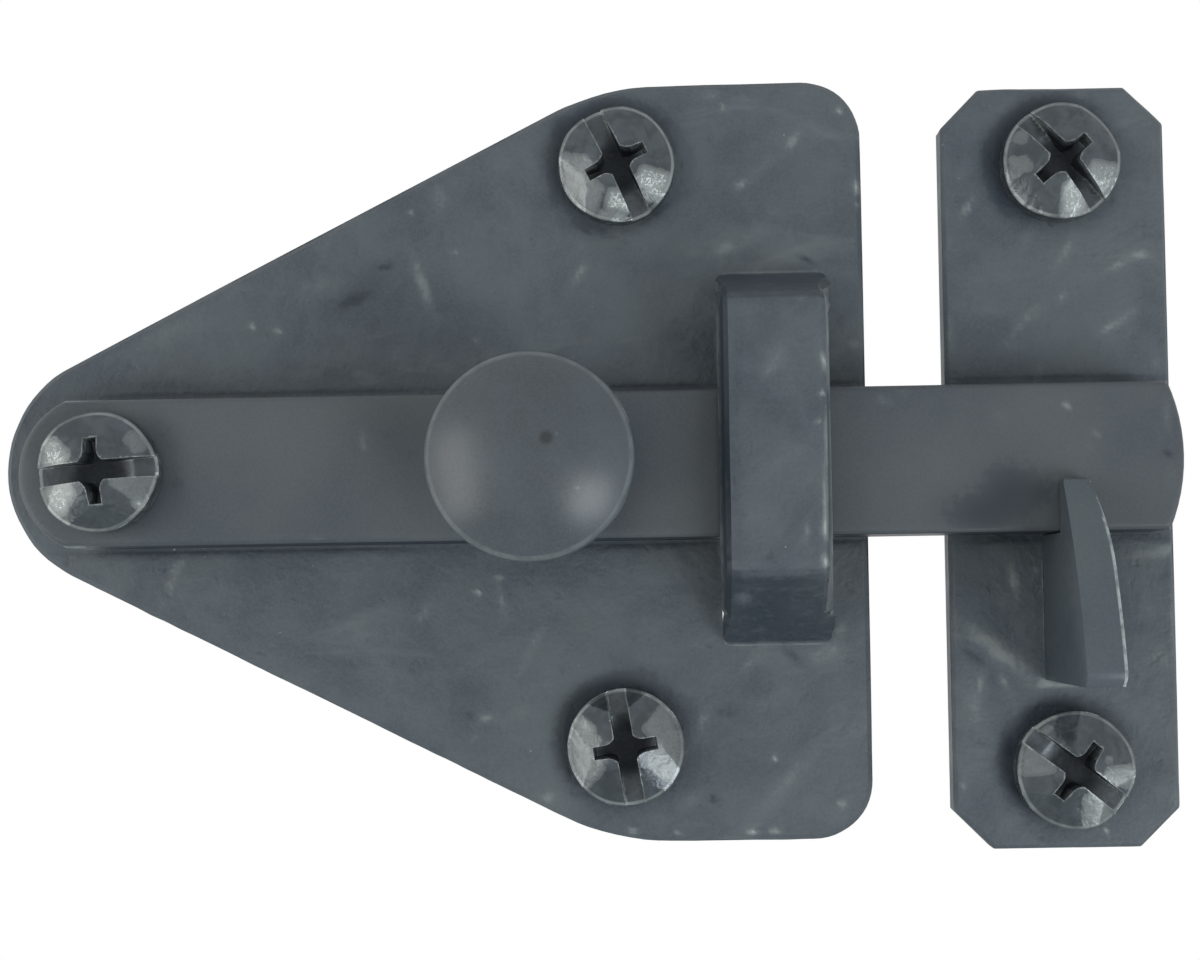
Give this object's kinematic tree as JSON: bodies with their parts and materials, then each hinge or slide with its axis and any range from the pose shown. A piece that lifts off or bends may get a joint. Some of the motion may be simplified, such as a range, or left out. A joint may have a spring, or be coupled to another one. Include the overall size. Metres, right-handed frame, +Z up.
{
  "type": "cabinet latch",
  "caption": "Surface cabinet latch: arrowhead backplate with a bridge guide, a pivoting lift bar with a round knob, and a strike plate with a ramped catch.",
  "frame": {"origin": "on the bar's pivot axis, in the mounting plane at the back of the backplate", "axes": "+X along the bar towards the strike plate, +Y into the door, +Z up"},
  "size_m": [0.078, 0.035, 0.0516],
  "materials": {
    "backplate_black": "satin black over a forged texture",
    "strike_black": "satin black over a forged texture",
    "bar_black": "smooth satin black",
    "knob_black": "smooth satin black",
    "catch_black": "satin black",
    "screw_black": "glossy black oxide"
  },
  "bodies": {
    "fixed_plates": {"backplate": "backplate_black", "strike_plate": "strike_black", "catch": "catch_black", "pivot_screw": "screw_black", "plate_screw_top": "screw_black", "plate_screw_bottom": "screw_black", "strike_screw_top": "screw_black", "strike_screw_bottom": "screw_black"},
    "lift_bar": {"latch_bar": "bar_black", "knob": "knob_black"}
  },
  "joints": [
    {"name": "bar_lift", "type": "hinge", "parent": "fixed_plates", "child": "lift_bar", "pos_m": [0, 0, 0], "axis": [0, -1, 0], "range_deg": [0, 5]}
  ]
}
